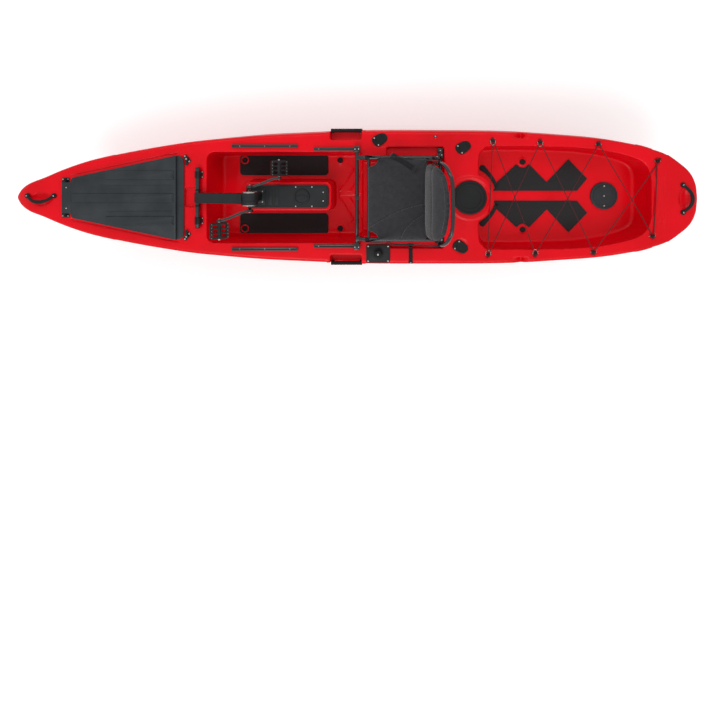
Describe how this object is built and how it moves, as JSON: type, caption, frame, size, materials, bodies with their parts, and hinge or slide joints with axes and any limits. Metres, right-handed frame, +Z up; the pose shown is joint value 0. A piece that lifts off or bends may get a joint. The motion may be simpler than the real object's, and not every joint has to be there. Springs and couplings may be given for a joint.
{
  "type": "pedal kayak",
  "caption": "Sit-on-top fishing kayak with a hollow moulded hull, a swing-up pedal and propeller drive, a sliding framed seat and a bungee-laced tank well.",
  "frame": {"origin": "on the flat bottom of the hull amidships, on the centre line", "axes": "+X to the stern, +Y to starboard, +Z up"},
  "size_m": [3.96, 0.81, 1.0535],
  "materials": {
    "hull_red": "glossy moulded polyethylene",
    "charcoal_plastic": "moulded, satin",
    "black_plastic": "moulded, fine grain",
    "drive_black": "moulded, satin",
    "crank_black": "semi-gloss black",
    "black_tube": "powder coated aluminium",
    "black_track": "anodised aluminium",
    "bare_steel": "turned stainless steel",
    "gear_steel": "machined, greased",
    "black_rubber": "moulded rubber",
    "hatch_black": "coarse moulded grain",
    "foam_mat": "brushed closed-cell foam",
    "bungee_cord": "braided cover",
    "seat_fabric": "woven polyester mesh",
    "webbing": "woven webbing"
  },
  "bodies": {
    "hull": {"hull_bow": "hull_red", "hull_middle": "hull_red", "hull_stern": "hull_red", "bow_grip": "black_rubber", "stern_grip": "black_rubber", "side_grip_stbd": "black_rubber", "side_grip_port": "black_rubber", "drive_cross_bar": "black_tube", "bar_clamp_stbd": "black_plastic", "bar_clamp_port": "black_plastic", "lid_hinge_stbd": "black_plastic", "lid_hinge_port": "black_plastic", "foot_mat_stbd": "foam_mat", "foot_mat_port": "foam_mat", "gear_track_stbd": "black_track", "gear_track_port": "black_track", "seat_rail_stbd": "black_track", "seat_rail_port": "black_track", "side_plate": "black_plastic", "deck_mat_stbd": "foam_mat", "deck_mat_port": "foam_mat", "pad_eye_port_1": "black_plastic", "pad_eye_port_2": "black_plastic", "pad_eye_port_3": "black_plastic", "pad_eye_port_4": "black_plastic", "pad_eye_stbd_1": "black_plastic", "pad_eye_stbd_2": "black_plastic", "pad_eye_stbd_3": "black_plastic", "pad_eye_stbd_4": "black_plastic", "deck_bungee": "bungee_cord"},
    "bow_lid": {"bow_hatch_lid": "charcoal_plastic"},
    "catch_stbd": {"lid_catch_stbd": "black_plastic"},
    "catch_port": {"lid_catch_port": "black_plastic"},
    "drive": {"stay_arm": "drive_black", "drive_head": "drive_black", "head_cover_stbd": "bare_steel", "head_cover_port": "bare_steel", "well_cover": "drive_black", "drive_leg": "drive_black"},
    "crank": {"crank_axle": "bare_steel", "crank_arm_port": "crank_black", "crank_arm_stbd": "crank_black"},
    "pedal_left": {"pedal_port": "black_plastic"},
    "pedal_right": {"pedal_stbd": "black_plastic"},
    "upright": {"drive_shaft": "gear_steel"},
    "screw": {"propeller_shaft": "gear_steel", "propeller": "drive_black"},
    "seat": {"seat_cross_bar": "black_tube", "seat_frame": "black_tube", "seat_pad": "seat_fabric", "seat_strap_stbd": "webbing", "seat_strap_port": "webbing"},
    "backrest": {"backrest_frame": "black_tube", "backrest_panel": "seat_fabric"},
    "knob": {"turn_knob": "black_rubber"},
    "mid_lid": {"mid_hatch_lid": "hatch_black"},
    "stern_lid": {"stern_hatch_lid": "hatch_black"},
    "rod_cap_a": {"rod_cap_stbd_front": "black_rubber"},
    "rod_cap_b": {"rod_cap_stbd_back": "black_rubber"},
    "rod_cap_c": {"rod_cap_port_back": "black_rubber"}
  },
  "joints": [
    {"name": "drive_lift", "type": "hinge", "parent": "hull", "child": "drive", "pos_m": [-0.899, 0, 0.345], "axis": [0, -1, 0], "range_deg": [0, 75]},
    {"name": "crank_spin", "type": "hinge", "parent": "drive", "child": "crank", "pos_m": [-0.58, 0, 0.405], "axis": [0, 1, 0], "continuous": true},
    {"name": "upright_spin", "type": "hinge", "parent": "drive", "child": "upright", "pos_m": [-0.58, 0, 0.1], "axis": [0, 0, 1], "continuous": true},
    {"name": "propeller_spin", "type": "hinge", "parent": "drive", "child": "screw", "pos_m": [-0.43, 0, -0.082], "axis": [1, 0, 0], "continuous": true},
    {"name": "pedal_left_spin", "type": "hinge", "parent": "crank", "child": "pedal_left", "pos_m": [-0.72954, -0.17, 0.47473], "axis": [0, 1, 0], "continuous": true},
    {"name": "pedal_right_spin", "type": "hinge", "parent": "crank", "child": "pedal_right", "pos_m": [-0.43046, 0.17, 0.33527], "axis": [0, 1, 0], "continuous": true},
    {"name": "bow_lid_open", "type": "hinge", "parent": "hull", "child": "bow_lid", "pos_m": [-1.676, 0, 0.3396], "axis": [0, -1, 0], "range_deg": [0, 95]},
    {"name": "catch_stbd_turn", "type": "hinge", "parent": "hull", "child": "catch_stbd", "pos_m": [-0.968, 0.226, 0.33], "axis": [0, 0, -1], "range_deg": [0, 90]},
    {"name": "catch_port_turn", "type": "hinge", "parent": "hull", "child": "catch_port", "pos_m": [-0.968, -0.226, 0.33], "axis": [0, 0, 1], "range_deg": [0, 90]},
    {"name": "seat_slide", "type": "slide", "parent": "hull", "child": "seat", "axis": [1, 0, 0], "range_m": [-0.2, 0]},
    {"name": "backrest_fold", "type": "hinge", "parent": "seat", "child": "backrest", "pos_m": [0.484, 0, 0.428], "axis": [0, -1, 0], "range_deg": [-12, 28], "deforming": ["seat_strap_stbd", "seat_strap_port"]},
    {"name": "knob_turn", "type": "hinge", "parent": "hull", "child": "knob", "pos_m": [0.147, -0.327, 0.345], "axis": [0, 0, 1], "range_deg": [-90, 90]},
    {"name": "mid_lid_turn", "type": "hinge", "parent": "hull", "child": "mid_lid", "pos_m": [0.68, 0, 0.34], "axis": [0, 0, 1], "range_deg": [0, 60]},
    {"name": "stern_lid_turn", "type": "hinge", "parent": "hull", "child": "stern_lid", "pos_m": [1.513, 0, 0.2], "axis": [0, 0, 1], "range_deg": [0, 60]},
    {"name": "rod_cap_a_pull", "type": "slide", "parent": "hull", "child": "rod_cap_a", "axis": [0.342, 0, 0.9397], "range_m": [0, 0.03]},
    {"name": "rod_cap_b_pull", "type": "slide", "parent": "hull", "child": "rod_cap_b", "axis": [0.342, 0, 0.9397], "range_m": [0, 0.03]},
    {"name": "rod_cap_c_pull", "type": "slide", "parent": "hull", "child": "rod_cap_c", "axis": [0.342, 0, 0.9397], "range_m": [0, 0.03]}
  ],
  "couplings": [
    {"joint": "upright_spin", "follows": "crank_spin", "ratio": 4},
    {"joint": "propeller_spin", "follows": "crank_spin", "ratio": -8}
  ]
}
